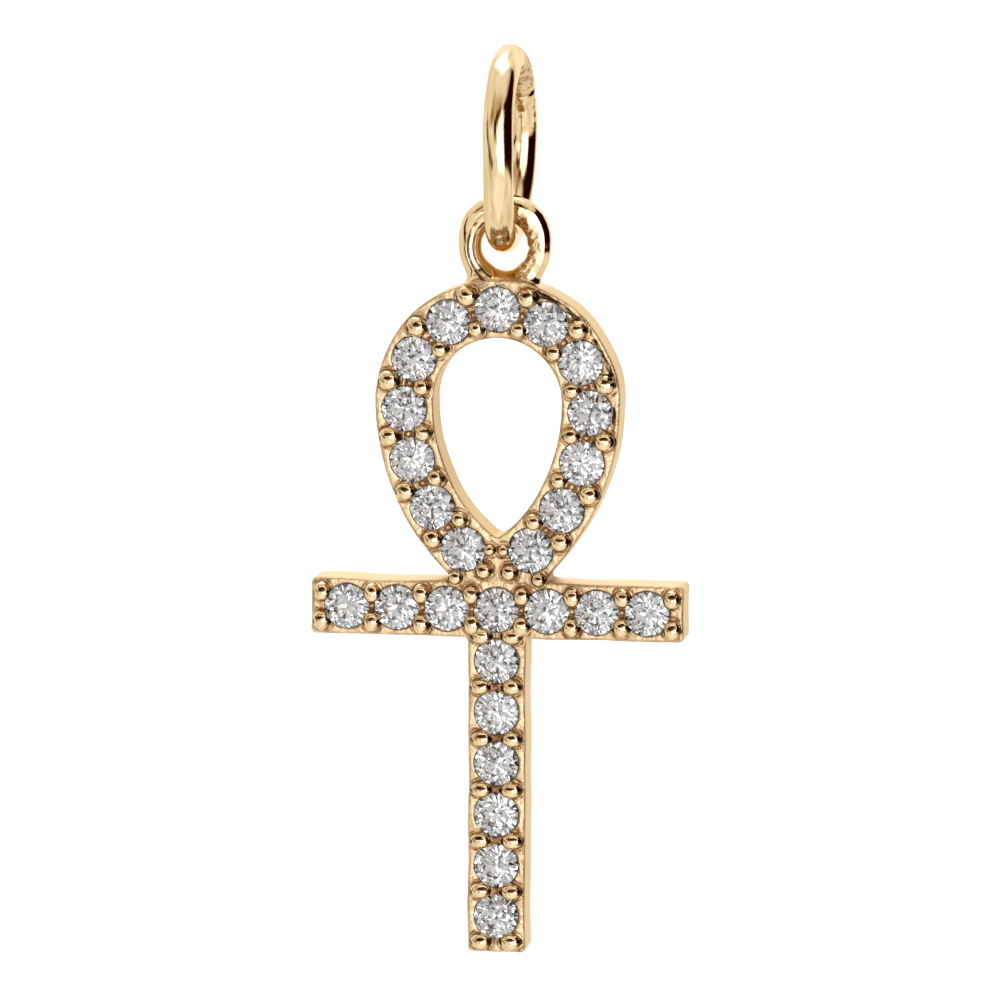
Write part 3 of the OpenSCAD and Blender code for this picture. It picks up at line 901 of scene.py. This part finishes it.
def strip(left, right, start, end, thick, soft):
    """One along a slanted strip that goes from one elevation to another between two bearings."""
    slant = (end - start) / (right - left)
    off = air.maths("ABSOLUTE", elevation - (bearing - left) * slant - start)
    return span(bearing, left, right, soft) * (1 - off.rise(thick - soft, thick + soft))


# %% Bright and dark patches
# Each lamp: left, right, low, high, soft edge, and how bright it is
LAMPS = [(0, 53, -20, 41, 5, 1.5), (-24, 4, -3, 10, 3, 1.0), (-34, 60, -88, -24, 10, 0.2),
         (150, 190, -36, 34, 9, 0.25), (-190, -150, -36, 34, 9, 0.25),
         (-190, -132, 40, 84, 6, 2.0), (140, 190, 58, 84, 6, 2.0)]
# Each flag: where it stands, and the share of the light that it takes
FLAGS = [(patch(55, 136, -13, 48, 3), 0.985), (strip(-26, 28, 20, 50, 8, 3), 0.93),
         (patch(-60, -40, 22, 40, 5), 0.5), (patch(-70, 46, 25, 64, 9), 0.36),
         (strip(-93, -33, 17, -13, 5, 2.5), 0.96)]
room = 0.88 + (noise(air, towards, 2.2, 3.0) - 0.5) * 0.8
for *where, bright in LAMPS:
    room = room + patch(*where) * bright
for where, share in FLAGS:
    room = room * (1 - where * share)
room = air.maths("MAXIMUM", room, 0.002)

# %% [markdown]
# The gold's reflections are warmer in the shade than in the light, as between warm walls, and a second
# reflection is dimmer. The stones see a room of their own, grey with bright spots, because a cut stone
# scatters so many small pictures of the real one that only their mean and their contrast count.

# %% The colour of the light
WARMTH = (0.0, 0.8, 2.0)
HIGHLIGHT_TINT = colour(1.0, 0.965, 1.07)
SECOND_BOUNCE = (0.50, 0.41, 0.32)
PLAIN_LIGHT = colour(1.15, 1.15, 1.15)


def times(first, second):
    return air.node("ShaderNodeVectorMath", {"operation": "MULTIPLY"}, {0: first, 1: second})


shade = air.maths("MINIMUM", room, 1.02)
shade = shade * (1.8 - shade * 0.8)
warm = air.node("ShaderNodeCombineXYZ", None, dict(enumerate(room * shade**power for power in WARMTH)))
warm = times(warm, room.rise(0.95, 1.35).between(colour(1, 1, 1), HIGHLIGHT_TINT))
spots = air.node("ShaderNodeTexNoise", None, {
    "Vector": towards, "Scale": 4.2, "Detail": 1.0, "Roughness": 0.6})
sparkle = 0.02 + spots.rise(0.36, 0.52) * 0.62 + spots.rise(0.55, 0.66) * 1.7
for_stones = air.node("ShaderNodeCombineXYZ", None, {0: sparkle, 1: sparkle, 2: sparkle})

seen = air.node("ShaderNodeLightPath", out="Is Camera Ray")
plain = air.maths("MAXIMUM", seen, seen.other("Is Diffuse Ray"))
dimmed = seen.other("Glossy Depth").rise(1.2, 1.8).between(warm, times(warm, SECOND_BOUNCE))
light = seen.other("Is Transmission Ray").between(dimmed, for_stones)
sky = air.node("ShaderNodeBackground", None, {"Color": plain.between(light, PLAIN_LIGHT), "Strength": 1.0})
air.node("ShaderNodeOutputWorld", None, {"Surface": sky})

# %% The floor
FLOOR_DROP, FLOOR_R, FLOOR_SPOKES = -75.0, 4000.0, 96
spokes, rings_out = np.meshgrid(np.arange(FLOOR_SPOKES) * 2 * np.pi / FLOOR_SPOKES,
                                np.linspace(0.02, 1, 12) ** 2, indexing="ij")
disc = np.stack([FLOOR_R * rings_out * np.cos(spokes), FLOOR_R * rings_out * np.sin(spokes),
                 np.full_like(spokes, FLOOR_DROP)], -1).reshape(-1, 3)
number = np.arange(disc.shape[0]).reshape(FLOOR_SPOKES, -1)
after = np.roll(number, -1, 0)
disc_faces = np.stack([number[:, :-1], number[:, 1:], after[:, 1:], after[:, :-1]], -1).reshape(-1, 4)
floor = new_piece("pale_floor", disc * MM, disc_faces)
pale, paint = finish("pale_floor_finish")
principled(paint, {"Base Color": colour(0.92, 0.92, 0.92), "Roughness": 0.9})
floor.data.materials.append(pale)
floor.visible_glossy = floor.visible_transmission = False

bpy.context.scene.view_settings.view_transform = "Standard"
